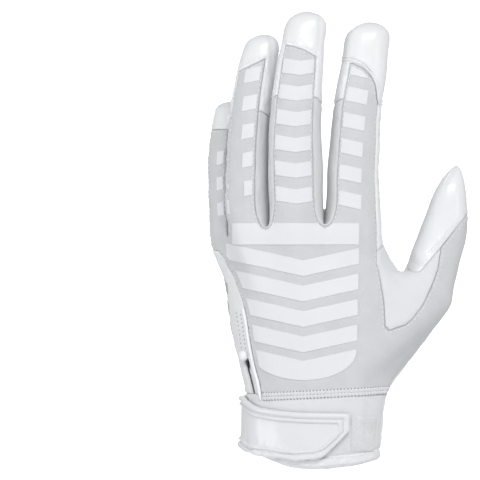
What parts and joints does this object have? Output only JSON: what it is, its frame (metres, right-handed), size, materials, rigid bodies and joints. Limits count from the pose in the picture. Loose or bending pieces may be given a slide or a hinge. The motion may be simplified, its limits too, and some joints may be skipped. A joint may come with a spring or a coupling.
{
  "type": "football receiver glove",
  "caption": "Left-hand football receiver glove, filled out as worn: grip palm, knit back, finger webs, cuff with wrist strap.",
  "frame": {"origin": "middle of the wrist opening, level with the hem at the back of the wrist", "axes": "+Z to the fingertips, -Y out of the back of the hand, +Y out of the palm, +X to the thumb"},
  "size_m": [0.1221, 0.0625, 0.2143],
  "materials": {
    "grip_silicone": "glossy, tacky",
    "back_knit": "fine knit, matte",
    "side_cloth": "smooth, matte",
    "gusset_cloth": "smooth, soft sheen",
    "web_cloth": "smooth, matte",
    "cuff_cloth": "stretch fabric, soft sheen",
    "binding": "folded stretch binding",
    "strap_rubber": "satin moulded",
    "loop_pile": "short loop pile",
    "piping": "satin"
  },
  "bodies": {
    "root": {"palm_panel": "grip_silicone", "pinky_front": "grip_silicone", "ring_front": "grip_silicone", "middle_front": "grip_silicone", "index_front": "grip_silicone", "thumb_front": "grip_silicone", "back_panel": "back_knit", "side_panel": "side_cloth", "thumb_gusset": "gusset_cloth", "fourchette_ring_pinky": "web_cloth", "fourchette_middle_ring": "web_cloth", "fourchette_index_middle": "web_cloth", "cuff": "cuff_cloth", "hem_binding": "binding", "strap": "strap_rubber", "loop_patch": "loop_pile", "vent_piping": "piping", "vent_stay": "piping"}
  },
  "joints": []
}
